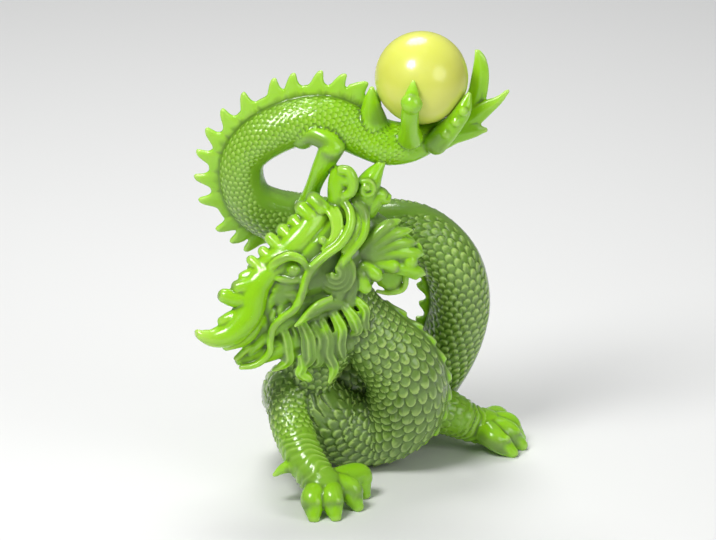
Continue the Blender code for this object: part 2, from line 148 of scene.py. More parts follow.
# The near leg from its shoulder to its wrist: across, up, depth, radius
NEAR_LEG = (
    (-19.4, 37.0, -4, 7.8),
    (-20.2, 29.8, -11, 6.2),
    (-18.0, 22.8, -18, 5.9),
    (-14.8, 16.2, -25, 5.6),
    (-10.8, 10.6, -29.5, 5.4),
)

# The far leg from its shoulder to its wrist, and the throat behind the beard
FAR_LEG = (
    (13.0, 35.0, 28, 7.6),
    (19.4, 32.6, 20, 7.4),
    (26.0, 30.6, 19, 6.6),
    (31.5, 28.0, 20, 5.6),
    (36.0, 26.8, 21, 5.4),
)
THROAT = (
    (-17.0, 38.0, -2, 8.0),
    (-13.0, 46.0, -3, 8.0),
    (-7.0, 54.0, -4, 8.5),
)

# The bridge of the nose down to the tip of the lip, and the crest above it
BRIDGE = (
    (-18.5, 75.0, -16, 2.8),
    (-24.6, 73.0, -17, 3.4),
    (-29.0, 69.4, -18.5, 4.2),
    (-31.2, 65.4, -19.5, 4.8),
    (-31.8, 61.4, -20.5, 4.5),
    (-33.9, 57.6, -22, 4.3),
    (-37.4, 54.2, -23.5, 3.9),
    (-41.8, 52.9, -25, 2.8),
    (-45.0, 53.5, -26, 1.8),
    (-46.6, 54.3, -26, 1.1),
)
CREST = (
    (-11.2, 89.2, -8.5, 3.6),
    (-14.4, 85.0, -11.4, 4.2),
    (-18.2, 80.6, -14, 4.3),
    (-22.2, 77.0, -15.6, 3.8),
    (-26.8, 74.2, -17, 2.8),
    (-31.6, 72.9, -17, 0.9),
)

# Light that comes through a part beyond what its own thickness lets through
EXTRA_LIGHT = ((CREST, 0.42), (BRIDGE, 0.3), (FAR_LEG, 0.16))

# Scales of the legs and the throat: limb, the side its back faces, pitch, count round it, lift, last point
LIMB_SKINS = (
    (NEAR_LEG, (-0.6, 0.2, -0.8), 1.9, 15, 0.75, 2.4),
    (FAR_LEG, (0.2, 0.9, 0.2), 2.0, 16, 0.6, 2.6),
    (THROAT, (-0.8, 0.3, 0.4), 2.2, 20, 0.9, 3.0),
)

# The body's scales along it: points of BODY, then the pitch, the lift or the belly's edge in degrees
SCALE_PITCH = ((0, 5, 9, 17.4, 17.6, 22, 26, 29), (2.5, 2.8, 2.5, 2.3, 1.6, 1.5, 1.25, 1.1))
SCALE_LIFT = ((0, 5, 9, 16, 18, 22, 26, 29.5, 30.5), (1.1, 1.25, 1.15, 1.1, 0.7, 0.65, 0.55, 0.45, 0.3))
BELLY_EDGE = ((0, 2, 8, 12, 17, 20, 22, 28, 29.5), (150, 172, 172, 156, 156, 150, 112, 112, 180))

# Lamps: name, bearing from the front view, angle above the floor, distance, size and power
LAMPS = (
    ("key", 35, 52, 0.6, 0.22, 2.8),
    ("fill", -50, 25, 0.7, 0.4, 1.1),
    ("top", 170, 60, 0.6, 0.3, 2.2),
)
LAMP_TARGET_HEIGHT = 0.065
SURROUND_STRENGTH = 0.24

# The front view's frame, in steps: its middle and its width
FRAME_MIDDLE = (-0.58, 72.3, 0)
FRAME_WIDTH = 206.2


def place(across, up, depth):
    """A point of the front view in the world, in steps."""
    height = (up - (depth - NEAREST_DEPTH) * math.sin(VIEW_TILT)) / math.cos(VIEW_TILT)
    x = across * math.cos(VIEW_TURN) + depth * math.sin(VIEW_TURN)
    y = depth * math.cos(VIEW_TURN) - across * math.sin(VIEW_TURN)
    return np.array((x, y, height))


def view_of(point):
    """Across, up and depth of a world point, the way back from place."""
    across = point[0] * math.cos(VIEW_TURN) - point[1] * math.sin(VIEW_TURN)
    depth = point[0] * math.sin(VIEW_TURN) + point[1] * math.cos(VIEW_TURN)
    up = point[2] * math.cos(VIEW_TILT) + (depth - NEAREST_DEPTH) * math.sin(VIEW_TILT)
    return (across, up, depth)


def unit(vectors):
    """Vectors at length one."""
    return vectors / np.maximum(np.linalg.norm(vectors, axis=-1, keepdims=True), 1e-9)


def heading(across, up, depth):
    """A direction of the front view in the world."""
    return unit(place(across, up, depth) - place(0, 0, 0))


def smooth_path(points, steps=STEPS_BETWEEN_POINTS):
    """A smooth curve through points with a radius: its centres and radii."""
    rows = np.array([tuple(place(*point[:3])) + (point[3],) for point in points])
    rows = np.vstack([2 * rows[0] - rows[1], rows, 2 * rows[-1] - rows[-2]])
    share = (np.arange(steps) / steps)[:, None]
    stretches = []
    for before, start, end, after in zip(rows, rows[1:], rows[2:], rows[3:]):
        linear = (end - before) * share
        square = (2 * before - 5 * start + 4 * end - after) * share**2
        cube = (3 * start - before - 3 * end + after) * share**3
        stretches.append(start + (linear + square + cube) / 2)
    made = np.vstack(stretches + [rows[-2:-1]])
    return made[:, :3], np.maximum(made[:, 3], 0.2)


def travel(centres):
    """The direction of travel at each centre."""
    return unit(np.gradient(centres, axis=0))


class Clay:
    """The corners and faces of all forms, before they are fused into one."""

    def __init__(self):
        self.corners = []
        self.faces = []
        self.count = 0

    def add(self, corners, faces):
        self.corners.append(np.asarray(corners, float))
        self.faces.extend(tuple(corner + self.count for corner in face) for face in faces)
        self.count += len(corners)

    def rings(self, rings):
        """A skin over rings of corners, closed at both ends."""
        rows, sides = len(rings), len(rings[0])
        faces = []
        for row in range(rows - 1):
            for side in range(sides):
                here, following = row * sides + side, row * sides + (side + 1) % sides
                faces.append((here, following, following + sides, here + sides))
        faces.append(tuple(range(sides))[::-1])
        faces.append(tuple(range((rows - 1) * sides, rows * sides)))
        self.add(np.concatenate(rings), faces)

    def tube(self, points, broad=None, flatness=1.0, flutes=0, flute_depth=0.0, sides=TUBE_SIDES):
        """A rounded limb. Where broad is given it is flattened across it; flutes groove it lengthways."""
        centres, radii = smooth_path(points)
        ways = travel(centres)
        cap = ((-0.92, 0.32), (-0.7, 0.7), (-0.36, 0.93))
        rows = [(centres[0] + ways[0] * radii[0] * a, radii[0] * b, ways[0]) for a, b in cap]
        rows += list(zip(centres, radii, ways))
        rows += [(centres[-1] - ways[-1] * radii[-1] * a, radii[-1] * b, ways[-1]) for a, b in cap[::-1]]
        turns = 2 * math.pi * np.arange(sides) / sides
        swell = 1 - flute_depth * (0.5 + 0.5 * np.cos(flutes * turns)) if flutes else np.ones(sides)
        guide = heading(0.3, 0.1, -1) if broad is None else broad
        rings = []
        for centre, radius, way in rows:
            side = guide - way * guide.dot(way)
            if np.linalg.norm(side) < 0.05:
                side = np.cross(way, (0.31, 0.52, 0.8))
            side = unit(side)
            other = np.cross(way, side) * flatness
            reach = (radius * swell)[:, None]
            rings.append(centre + reach * (np.cos(turns)[:, None] * side + np.sin(turns)[:, None] * other))
            if broad is None:
                guide = side
        self.rings(rings)

    def lump(self, across, up, depth, radius, sides=16):
        """A rounded knob."""
        rings = []
        for latitude in np.linspace(-0.48 * math.pi, 0.48 * math.pi, sides // 2 + 1):
            turns = 2 * math.pi * np.arange(sides) / sides
            flat = np.stack([np.cos(turns), np.sin(turns), np.zeros(sides)], 1) * math.cos(latitude)
            flat[:, 2] = math.sin(latitude)
            rings.append(place(across, up, depth) + radius * flat)
        self.rings(rings)

    def blade(self, outline, across_blade, thickness):
        """A flat outline given a thickness that swells in the middle and thins at the rim."""
        outline = np.array(outline)
        middle = outline.mean(axis=0)
        layers = ((1.0, 0.22), (0.9, 0.42), (0.6, 0.5))
        rings = []
        for scale, rise in layers[::-1]:
            rings.append(middle + (outline - middle) * scale - across_blade * thickness * rise)
        for scale, rise in layers:
            rings.append(middle + (outline - middle) * scale + across_blade * thickness * rise)
        self.rings(rings)


class Limb:
    """A carved limb's centre line, with its radius and the way that its back faces at every station."""

    def __init__(self, points, back_side):
        self.centres, self.radii = smooth_path(points)
        self.ways = travel(self.centres)
        marks = [mark * STEPS_BETWEEN_POINTS for mark, side in back_side]
        sides = np.array([heading(*side) for mark, side in back_side])
        stations = np.arange(len(self.centres))
        backs = np.stack([np.interp(stations, marks, sides[:, axis]) for axis in range(3)], 1)
        along = (backs * self.ways).sum(1, keepdims=True)
        self.backs = unit(backs - self.ways * along)
        steps = np.linalg.norm(np.diff(self.centres, axis=0), axis=1)
        self.run = np.concatenate([[0], np.cumsum(steps)])

    def at(self, position):
        """Centre, radius, way and back at a position counted in the limb's own points."""
        station = np.clip(position * STEPS_BETWEEN_POINTS, 0, len(self.centres) - 1.001)
        index = int(station)
        share = station - index
        parts = (self.centres, self.radii, self.ways, self.backs)
        return [part[index] * (1 - share) + part[index + 1] * share for part in parts]

    def locate(self, corners):
        """Each corner's position in the limb's points, run along it, turn from the back and
        distance off its skin."""
        chunk = 20000
        nearest = np.zeros(len(corners), int)
        for first in range(0, len(corners), chunk):
            part = corners[first : first + chunk]
            square = (part**2).sum(1)[:, None] - 2 * part @ self.centres.T + (self.centres**2).sum(1)
            off = np.sqrt(np.maximum(square, 0)) - self.radii
            nearest[first : first + chunk] = off.argmin(1)
        last = len(self.centres) - 1
        ahead = ((corners - self.centres[nearest]) * self.ways[nearest]).sum(1)
        low = np.clip(np.where(ahead >= 0, nearest, nearest - 1), 0, last - 1)
        before = ((corners - self.centres[low]) * self.ways[low]).sum(1)
        after = ((corners - self.centres[low + 1]) * self.ways[low + 1]).sum(1)
        spread = before - after
        share = np.clip(before / np.where(np.abs(spread) < 1e-6, 1e-6, spread), 0, 1)

        def between(values):
            weight = share if values.ndim == 1 else share[:, None]
            return values[low] * (1 - weight) + values[low + 1] * weight

        centre, way, back = between(self.centres), unit(between(self.ways)), between(self.backs)
        back = unit(back - way * (back * way).sum(1, keepdims=True))
        arm = corners - centre
        turn = np.arctan2((arm * np.cross(way, back)).sum(1), (arm * back).sum(1))
        distance = np.linalg.norm(arm, axis=1)
        position = (low + share) / STEPS_BETWEEN_POINTS
        return position, between(self.run), turn, distance - between(self.radii)


def ball_centre():
    """Where the ball rests in the palm."""
    seat = place(BALL_ACROSS, 0, BALL_DEPTH)
    return np.array((seat[0], seat[1], BALL_SEAT + BALL_RADIUS))


def grip_point(bearing, latitude, radius):
    """A point on a finger of this radius that lies against the ball."""
    turn, rise = math.radians(bearing), math.radians(latitude)
    ground_across = np.array((math.cos(VIEW_TURN), -math.sin(VIEW_TURN), 0))
    ground_away = np.array((math.sin(VIEW_TURN), math.cos(VIEW_TURN), 0))
    out = (ground_across * math.cos(turn) + ground_away * math.sin(turn)) * math.cos(rise)
    out = out + np.array((0, 0, math.sin(rise)))
    return ball_centre() + out * (BALL_RADIUS + BALL_GAP + radius * 0.94)


def back_point(body, position, lift):
    """A point above the skin on the line of the spines."""
    centre, radius, way, back = body.at(position)
    return centre + back * (radius + lift)


def walk_off_tips(body, first, last, height, gaps):
    """Where the tips of a run of spines stand along BODY, and how far one step of tip line takes it."""
    stride = 0.02
    positions = [first]
    position = first
    while position < last:
        position += stride
        gap = gaps[(len(positions) - 1) % len(gaps)]
        from_tip = back_point(body, positions[-1], height)
        if np.linalg.norm(back_point(body, position, height) - from_tip) >= gap:
            positions.append(position)
    rates = []
    for position in positions:
        ahead = back_point(body, position + stride, height) - back_point(body, position, height)
        rates.append(stride / np.linalg.norm(ahead))
    return list(zip(positions, rates))


def add_spines(clay, body):
    """Rows of hooked spines on a low web along the back, each leaning towards the tail."""
    slope_up = [(-5.0 + 4.7 * a, math.sin(a * math.pi / 2) ** 1.7) for a in np.linspace(0, 1, 10)]
    hooked_side = [(0.1, 0.99), (0.35, 0.9), (0.4, 0.7), (0.4, 0.45), (0.6, 0.2), (1.2, 0.04)]
    for first, last, height, web, gaps in SPINE_RUNS:
        web_end = None
        for tip, rate in walk_off_tips(body, first, last, height, gaps):
            start = tip - 6 * rate if web_end is None else web_end
            web_end = tip + 1.6 * rate
            shape = [(start, 0.0)]
            shape += [(max(tip + ahead * rate, start), rise) for ahead, rise in slope_up + hooked_side]
            shape += [(web_end, 0.0)]
            outline = [back_point(body, position, web + (height - web) * rise) for position, rise in shape]
            for share in (1.0, 0.75, 0.5, 0.25, -0.05):
                outline.append(back_point(body, start + (web_end - start) * share, -1.6))
            centre, radius, way, back = body.at(tip)
            clay.blade(outline, unit(np.cross(way, back)), SPINE_THICKNESS)


def add_skull(clay):
    """Skull, crown and the volumes behind the face."""
    skull = ((0.5, 79.0, -3, 7.0), (-8.0, 75.0, -7, 8.6), (-17.0, 70.0, -10, 8.0), (-24.5, 65.0, -13, 5.6))
    crown = ((-11.0, 84.0, -5, 5.4), (-3.0, 86.0, -4, 6.4), (5.0, 82.4, -4, 5.6))
    palate = (
        (-13.0, 63.0, -11, 6.4), (-21.6, 60.6, -13, 5.4), (-27.4, 56.6, -15.4, 4.4),
        (-29.6, 53.0, -17, 3.0),
    )
    face = (
        (-8.0, 84.0, -9, 4.6), (-13.0, 79.0, -12.5, 5.2), (-18.4, 72.6, -14.6, 5.6),
        (-23.0, 66.4, -15.4, 5.0),
    )
    cheek = ((-22.0, 62.0, -15.0, 4.4), (-14.0, 63.0, -12.6, 5.2), (-6.0, 66.0, -10.0, 5.4))
    for points in (skull, crown, palate, THROAT, face, cheek):
        clay.tube(points, sides=24)


def add_mane(clay):
    """Fluted locks down the back of the head, from the crown to the neck."""
    locks = 7
    for index in range(locks):
        share = index / (locks - 1)
        sweep = -9.0 + 18.0 * share
        bulge = 2.6 * math.sin(share * math.pi)
        lock = (
            (-4.0 + sweep * 0.5, 90.0, -3.0, 2.0),
            (-3.6 + sweep * 0.9, 86.6, 0.6 + bulge, 2.6),
            (-5.0 + sweep, 80.6, 1.6 + bulge, 2.8),
            (-6.6 + sweep, 74.6, 0.6 + bulge, 2.5),
            (-5.6 + sweep * 0.9, 69.6, 1.4 + bulge, 1.9),
            (-7.2 + sweep * 0.9, 65.6, 2.4 + bulge, 0.8),
        )
        clay.tube(lock, flutes=6, flute_depth=0.3, sides=24)


def add_muzzle(clay):
    """The smooth bridge of the nose, which ends in a lip that curls up, and four knobs beside it."""
    clay.tube(BRIDGE, sides=28)
    under_lip = ((-30.0, 59.0, -18, 3.4), (-33.4, 53.6, -20, 3.0), (-38.2, 50.6, -22, 1.6))
    clay.tube(under_lip)
    knobs = (
        ((-27.8, 72.2, -18, 1.6), (-31.6, 71.2, -19, 1.6), (-33.6, 70.4, -19.5, 1.4)),
        ((-28.4, 68.8, -20, 2.6), (-33.0, 67.8, -21, 2.5), (-35.0, 67.4, -21.5, 2.1)),
        ((-31.6, 64.4, -21, 2.8), (-36.0, 64.2, -22, 2.6), (-38.8, 64.9, -22.5, 2.2)),
        ((-33.8, 60.0, -22, 2.0), (-37.4, 58.6, -23, 1.8), (-39.6, 57.6, -23.5, 1.4)),
    )
    for knob in knobs:
        clay.tube(knob)


def add_crest(clay):
    """The plate over the nose: a smooth face with a row of knobs along its upper edge."""
    clay.tube(CREST, sides=28)
    knobs = 7
    for index in range(knobs):
        share = index / (knobs - 1)
        swing = 0.5 * math.sin(share * 4 * math.pi)
        across = -13.4 - 17.8 * share - swing
        up = 92.6 - 17.4 * share + swing
        depth = -9.6 - 7.6 * share
        size = 2.3 - 0.8 * share
        clay.tube(((across, up, depth, size), (across + 2.4, up - 2.4, depth - 1.6, size)))


def add_eye(clay):
    """Eyeball between a heavy brow and a lower lid, the fold below them, and the bead beside the crest."""
    clay.lump(-19.0, 72.4, -18.9, 2.1)
    clay.lump(-10.7, 80.8, -17.4, 1.35)
    brow = (
        (-27.4, 70.4, -19.4, 0.9), (-24.6, 74.0, -20.2, 1.3), (-20.4, 76.2, -20.4, 1.4),
        (-16.8, 75.2, -20.2, 1.2), (-14.8, 71.8, -19.4, 0.8),
    )
    lid = (
        (-24.6, 70.2, -19.8, 0.7), (-21.8, 69.4, -20.2, 0.9), (-18.2, 69.4, -20.2, 0.9),
        (-15.2, 70.9, -19.4, 0.7),
    )
    fold = ((-24.2, 66.6, -18.6, 1.6), (-20.0, 65.8, -18.8, 1.7), (-16.2, 66.4, -17.8, 1.5))
    for points in (brow, lid, fold):
        clay.tube(points)


def add_mouth(clay):
    """The fold at the corner of the mouth, the tongue, four teeth, and the lower jaw with its rim."""
    fold = (
        (-28.4, 56.6, -17.4, 1.6), (-27.2, 61.4, -18.2, 1.8), (-24.6, 64.7, -18.8, 1.7),
        (-21.8, 65.8, -19, 1.5), (-19.2, 64.2, -18.8, 1.3), (-17.9, 61.8, -18, 1.0),
    )
    clay.tube(fold, flutes=3, flute_depth=0.2)
    tongue = (
        (-20.0, 58.4, -15.6, 2.4), (-25.0, 55.4, -17.4, 2.2), (-29.6, 51.0, -19, 1.6),
        (-31.6, 48.4, -19.6, 0.8),
    )
    clay.tube(tongue)
    for index in range(4):
        across = -29.6 + 2.3 * index
        up = 55.4 + 1.9 * index
        tooth = (
            (across, up + 1.2, -18.6, 1.0),
            (across - 0.3, up - 0.6, -19.2, 0.8),
            (across - 0.5, up - 2.2, -19.2, 0.3),
        )
        clay.tube(tooth)
    jaw = ((-15.0, 55.0, -11, 5.0), (-22.0, 51.6, -14, 4.2), (-28.6, 48.4, -17, 3.2), (-34.4, 46.4, -19, 1.7))
    clay.tube(jaw)
    rim = (
        (-35.6, 46.9, -20.6, 0.8), (-32.6, 49.6, -20, 1.0), (-29.2, 52.0, -18.6, 1.0),
        (-27.2, 55.2, -17.6, 0.9),
    )
    clay.tube(rim)


def add_antlers(clay):
    """Two short antlers: a rolled knob and a pointed prong with a spiral boss and a side lobe."""
    rolled = ((-5.4, 88.5, -8, 3.6), (-6.0, 95.0, -8, 3.4), (-5.4, 99.2, -8, 3.2), (-3.4, 98.4, -9.6, 2.6))
    clay.tube(rolled, sides=24)
    fold = (
        (-5.2, 101.0, -10.4, 1.5), (-3.2, 100.4, -11.0, 1.6), (-1.9, 97.6, -11.4, 1.6),
        (-2.6, 94.6, -11.4, 1.5), (-4.6, 93.4, -11.2, 1.2),
    )
    clay.tube(fold)
    pointed = ((-1.0, 88.5, -6, 4.4), (1.6, 95.0, -6, 4.0), (3.8, 99.4, -5.4, 2.8), (6.9, 103.6, -4, 0.7))
    clay.tube(pointed, sides=24)
    side_lobe = ((2.0, 90.4, -6, 3.6), (5.2, 93.6, -6, 2.8), (7.4, 92.8, -6, 1.9), (8.2, 93.4, -6, 1.0))
    clay.tube(side_lobe)
    spiral = []
    for index in range(10):
        turn = math.radians(120 - 50 * index)
        reach = 2.7 * (1 - index / 11)
        spiral.append((1.8 + reach * math.cos(turn), 95.4 + reach * math.sin(turn), -9.2 - 0.12 * index, 0.8))
    clay.tube(spiral)


def add_whiskers(clay):
    """The long whisker from the antler to the lower jaw, the two strands beside it, and the forehead ribs."""
    whisker = (
        (-5.4, 92.6, -10, 1.3), (-3.0, 89.2, -13, 1.4), (-2.9, 84.6, -15.6, 1.4),
        (-5.6, 79.9, -17.6, 1.4), (-9.8, 76.6, -18.8, 1.3), (-14.0, 72.6, -20, 1.25),
        (-15.8, 68.5, -20.4, 1.2), (-16.9, 64.5, -20.4, 1.2), (-19.0, 60.8, -20, 1.15),
        (-22.4, 58.4, -20, 1.1), (-24.9, 55.6, -20, 1.05), (-25.7, 51.8, -20, 1.0),
        (-25.9, 48.8, -20, 1.0), (-27.8, 46.4, -20.4, 1.0), (-30.6, 44.8, -21, 0.9),
        (-34.2, 44.3, -21.4, 0.7),
    )
    outer = (
        (-1.2, 92.0, -9, 1.7), (1.0, 88.0, -11, 1.8), (0.7, 82.8, -13, 1.7), (-2.4, 78.2, -15.4, 1.5),
        (-4.9, 75.0, -16.8, 1.2), (-6.4, 72.2, -17, 0.8),
    )
    inner = (
        (-3.0, 90.4, -10, 1.2), (-1.0, 86.4, -12.6, 1.3), (-2.0, 81.8, -14.6, 1.2),
        (-4.6, 77.8, -16.4, 1.0),
    )
    for strand in (whisker, outer, inner):
        clay.tube(strand)
    for shift, size in ((0.0, 0.8), (1.9, 0.75), (3.6, 0.7)):
        rib = (
            (-11.6 + shift, 91.2, -10, size), (-8.8 + shift * 0.8, 88.4, -13.4, size),
            (-7.6 + shift * 0.6, 85.0, -15.2, size), (-8.0 + shift * 0.5, 81.6, -16.8, size),
            (-10.6 + shift * 0.4, 78.2, -18.0, size * 0.8),
        )
        clay.tube(rib)


def add_cheek_curl(clay):
    """Nested arcs of hair that curl round the cheek."""
    clay.tube(((-6.0, 73.6, -12, 4.2), (-6.6, 70.4, -13, 4.0)))
    for nest in range(4):
        reach = 5.4 - 1.35 * nest
        arc = []
        for index in range(7):
            turn = math.radians(62 - 38 * index)
            along = (-6.9 + reach * math.cos(turn) * 0.92, 71.6 + reach * math.sin(turn) * 1.05)
            arc.append(along + (-15.6 - 0.55 * nest, 0.95 if index < 6 else 0.6))
        clay.tube(arc)


def add_ear_fan(clay):
    """The ear: long ribs that sweep back to a scalloped edge, lobes along its lower edge, and a flap."""
    root = (-2.0, 74.2, -9.0)
    edge = (
        (11.6, 86.6, -6.0, 1.2), (14.8, 83.8, -5.6, 1.3), (16.2, 80.1, -5.6, 1.5), (18.2, 76.8, -5.6, 1.7),
        (18.8, 71.0, -6.0, 1.9),
    )
    for index, (across, up, depth, size) in enumerate(edge):
        bend = 1.6 - 0.1 * index
        rib = (
            root + (1.8,),
            (root[0] + (across - root[0]) * 0.33, root[1] + (up - root[1]) * 0.36 + bend * 0.8, -10.0, 1.9),
            (root[0] + (across - root[0]) * 0.68, root[1] + (up - root[1]) * 0.72 + bend, -8.8, 1.8),
            (root[0] + (across - root[0]) * 0.88, root[1] + (up - root[1]) * 0.9 + bend * 0.4, -7.2, size),
            (across, up, depth, 0.45),
        )
        clay.tube(rib)
        groove_rib = tuple((a - 0.3, u - 1.5, d - 0.4, r * 0.5) for a, u, d, r in rib[:4])
        clay.tube(groove_rib)
    web = (
        (-1.0, 75.0, -7.0, 3.0), (6.0, 77.6, -6.6, 5.0), (12.0, 78.6, -5.4, 4.8), (15.4, 78.0, -5.0, 2.8),
    )
    clay.tube(web, broad=heading(-0.3, 1, 0), flatness=0.42)
    clay.lump(14.2, 75.0, -7.8, 2.5)
    lobes = (
        (9.6, 73.0, -10.4, 2.0), (4.8, 70.6, -11.6, 2.1), (1.7, 67.2, -12.4, 2.0),
        (-2.7, 63.2, -13.4, 2.0), (-7.6, 60.6, -14.6, 1.8),
    )
    for across, up, depth, size in lobes:
        lobe = (
            (root[0] - 1.0, root[1] - 2.0, root[2] - 1, 2.2),
            ((root[0] + across) / 2, (root[1] + up) / 2 + 0.8, depth + 0.6, 2.2),
            (across - 0.6, up + 0.6, depth, size),
            (across, up, depth, size * 0.9),
        )
        clay.tube(lobe)
    flap = ((5.0, 73.0, -5.4, 3.0), (8.4, 70.0, -5.0, 4.0), (9.6, 67.8, -5.0, 2.8))
    clay.tube(flap, broad=heading(1, 0.2, 0), flatness=0.4)
    flap_rim = (
        (12.6, 73.0, -6.4, 0.8), (13.2, 69.4, -6.4, 0.9), (12.2, 66.6, -6.2, 0.8),
        (8.4, 65.6, -6.0, 0.7), (5.0, 66.2, -6.0, 0.6),
    )
    clay.tube(flap_rim)


def add_cheek_leaf(clay):
    """The pointed leaf at the cheek, with a raised vein along it."""
    leaf = (
        (-5.0, 62.6, -14, 2.2), (-9.6, 62.4, -16.4, 2.5), (-13.4, 60.4, -18.6, 2.4),
        (-18.4, 56.4, -20.2, 0.7),
    )
    clay.tube(leaf, broad=heading(0.6, 0.8, -0.3), flatness=0.7)
    vein = ((-8.4, 64.2, -17.4, 0.8), (-12.4, 62.2, -19.6, 0.9), (-17.4, 57.2, -21, 0.5))
    clay.tube(vein)


def add_beard(clay):
    """Wavy hanging locks, each fluted, over a backing in front of the throat."""
    beard_root = ((-21.0, 55.0, -11, 4.6), (-11.0, 53.6, -9, 5.8), (-1.0, 56.0, -8, 5.4))
    clay.tube(beard_root, sides=24)
    backing = ((-20.0, 50.0, -12.6, 3.4), (-12.0, 48.6, -11.6, 4.4), (-4.6, 52.0, -11.0, 4.0))
    clay.tube(backing, sides=24)
    locks = (
        ((-23.0, 57.4), (-22.0, 53.0), (-20.4, 49.4), (-21.4, 46.2), (-24.6, 43.4), -17.0, 1.7),
        ((-16.4, 56.6), (-15.4, 53.0), (-14.2, 49.6), (-15.2, 46.8), (-16.6, 43.6), -17.2, 1.9),
        ((-16.8, 46.6), (-17.0, 44.6), (-16.6, 42.8), (-15.4, 41.2), (-14.6, 40.2), -16.6, 1.4),
        ((-13.4, 56.4), (-12.0, 52.6), (-11.6, 49.0), (-12.6, 46.0), (-13.6, 44.4), -16.0, 1.6),
        ((-10.8, 57.4), (-9.6, 52.8), (-8.8, 48.6), (-8.0, 44.2), (-8.5, 40.0), -15.6, 1.6),
        ((-7.4, 59.6), (-6.0, 55.6), (-5.4, 51.4), (-5.8, 48.6), (-4.2, 46.4), -15.4, 1.7),
        ((-4.2, 61.6), (-2.6, 58.8), (-1.0, 57.4), (-1.4, 55.0), (-2.2, 53.6), -15.0, 1.6),
        ((-0.6, 63.4), (0.8, 61.0), (1.6, 58.2), (1.0, 55.8), (2.0, 53.8), -13.6, 1.4),
        ((-19.8, 57.2), (-18.8, 53.8), (-18.4, 50.6), (-19.0, 47.6), (-20.8, 44.6), -15.6, 1.5),
    )
    swell = (1.0, 1.3, 1.35, 1.15, 0.4)
    wave = (0.0, 0.5, -0.5, 0.5, -0.3)
    for lock in locks:
        depth, size = lock[5], lock[6]
        points = [
            (across + wave[index], up, depth + 0.3 * index, size * swell[index])
            for index, (across, up) in enumerate(lock[:5])
        ]
        clay.tube(points, flutes=6, flute_depth=0.34, sides=24)


def add_paw(clay, wrist, toes):
    """Chunky toes from a wrist, each over a raised knuckle and down to a blunt claw on the ground."""
    for knuckle, tip in toes:
        middle = tuple((high + low) / 2 for high, low in zip(knuckle, tip))
        clay.tube((wrist + (4.4,), knuckle + (3.5,), middle + (3.0,), tip + (1.8,)))
        across, up, depth = (0.75 * low + 0.25 * high for high, low in zip(knuckle, tip))
        out = unit(np.array(tip) - np.array(knuckle))
        claw = (
            (across, up + 1.3, depth, 1.7),
            (across + 1.2 * out[0], up + 0.4 + 0.3 * out[1], depth + 1.2 * out[2], 1.3),
            (across + 2.2 * out[0], up - 0.9, depth + 2.2 * out[2], 0.7),
        )
        clay.tube(claw)
        for side in (-1, 1):
            clay.lump(middle[0] + 0.9 * side, middle[1] + 1.6, middle[2] - 1.0, 1.5)


def add_front_leg(clay):
    """The near leg, with a spur and a paw of four toes."""
    clay.tube(NEAR_LEG, sides=26)
    clay.tube(((-17.0, 16.0, -26, 2.4), (-21.6, 15.4, -26, 1.7), (-24.6, 13.4, -26, 0.7)))
    toes = (
        ((-13.6, 7.2, -35.0), (-13.2, 1.2, -38.8)),
        ((-8.2, 7.4, -34.6), (-7.0, 1.5, -38.2)),
        ((-3.2, 9.6, -29.4), (-0.6, 4.3, -30.6)),
        ((-0.6, 13.4, -20.0), (1.4, 7.8, -20.8)),
    )
    add_paw(clay, (-9.6, 10.4, -27.5), toes)


def add_right_leg(clay):
    """The far fore leg, reaching out to the right on a flat paw."""
    clay.tube(FAR_LEG, sides=26)
    toes = (
        ((38.6, 23.6, 14.5), (44.4, 19.1, 13.0)),
        ((42.0, 25.6, 18.8), (47.2, 21.2, 18.8)),
        ((42.4, 27.6, 23.8), (46.8, 23.1, 24.4)),
        ((39.6, 29.4, 28.6), (43.4, 25.0, 30.0)),
    )
    add_paw(clay, (35.4, 26.4, 21.0), toes)


def add_hind_strut(clay):
    """The bent hind leg that stands on the body behind the head."""
    thigh = ((-16.4, 110.4, 0, 3.6), (-13.6, 111.2, -3, 3.2), (-9.6, 109.6, -5, 3.2), (-7.2, 107.2, -6, 3.0))
    shank = ((-8.4, 106.6, -6, 3.6), (-11.2, 101.2, -4, 2.8), (-13.6, 95.6, -0.5, 2.4), (-15.0, 89.8, 6, 3.8))
    clay.tube(thigh)
    clay.tube(shank)


def add_holding_claw(clay):
    """The palm under the ball and the four fingers that hold it, one with knobs and one with a ring."""
    palm = (
        (1.0, 111.0, 0, 6.4), (6.9, 109.0, 0, 6.6), (13.0, 108.6, 0, 5.8), (19.0, 110.4, 1, 4.8),
        (24.5, 112.8, 2, 3.2),
    )
    clay.tube(palm, sides=26)
    left_finger = (
        (4.4, 111.5, -1, 5.0), (3.6, 116.4, -2, 4.0), (3.2, 120.6, -2.5, 2.4), (3.4, 124.1, -2.5, 0.9),
    )
    right_finger = (
        (21.9, 108.9, -3, 3.8), (26.3, 113.8, -5, 3.3), (29.4, 118.4, -6, 2.9), (31.1, 122.4, -6, 0.9),
    )
    for finger in (left_finger, right_finger):
        clay.tube(finger, flutes=4, flute_depth=0.1)
    knobs = ((27.4, 114.6, -8.0, 1.5), (29.6, 117.6, -8.6, 1.5), (24.6, 111.4, -7.0, 1.6))
    for knob in knobs:
        clay.lump(*knob)
    front_finger = (
        (245, -64, 3.8), (253, -45, 2.8), (257, -22, 2.6), (259, -11, 2.6), (260, -8, 3.2), (260, -5, 3.1),
        (260, -3, 2.1), (260, 2, 2.0), (260, 14, 0.6),
    )
    back_finger = ((80, -66, 3.2), (80, -40, 2.6), (80, -16, 2.2), (80, 0, 0.9))
    for finger in (front_finger, back_finger):
        clay.tube([view_of(grip_point(*joint)) + (joint[2],) for joint in finger])


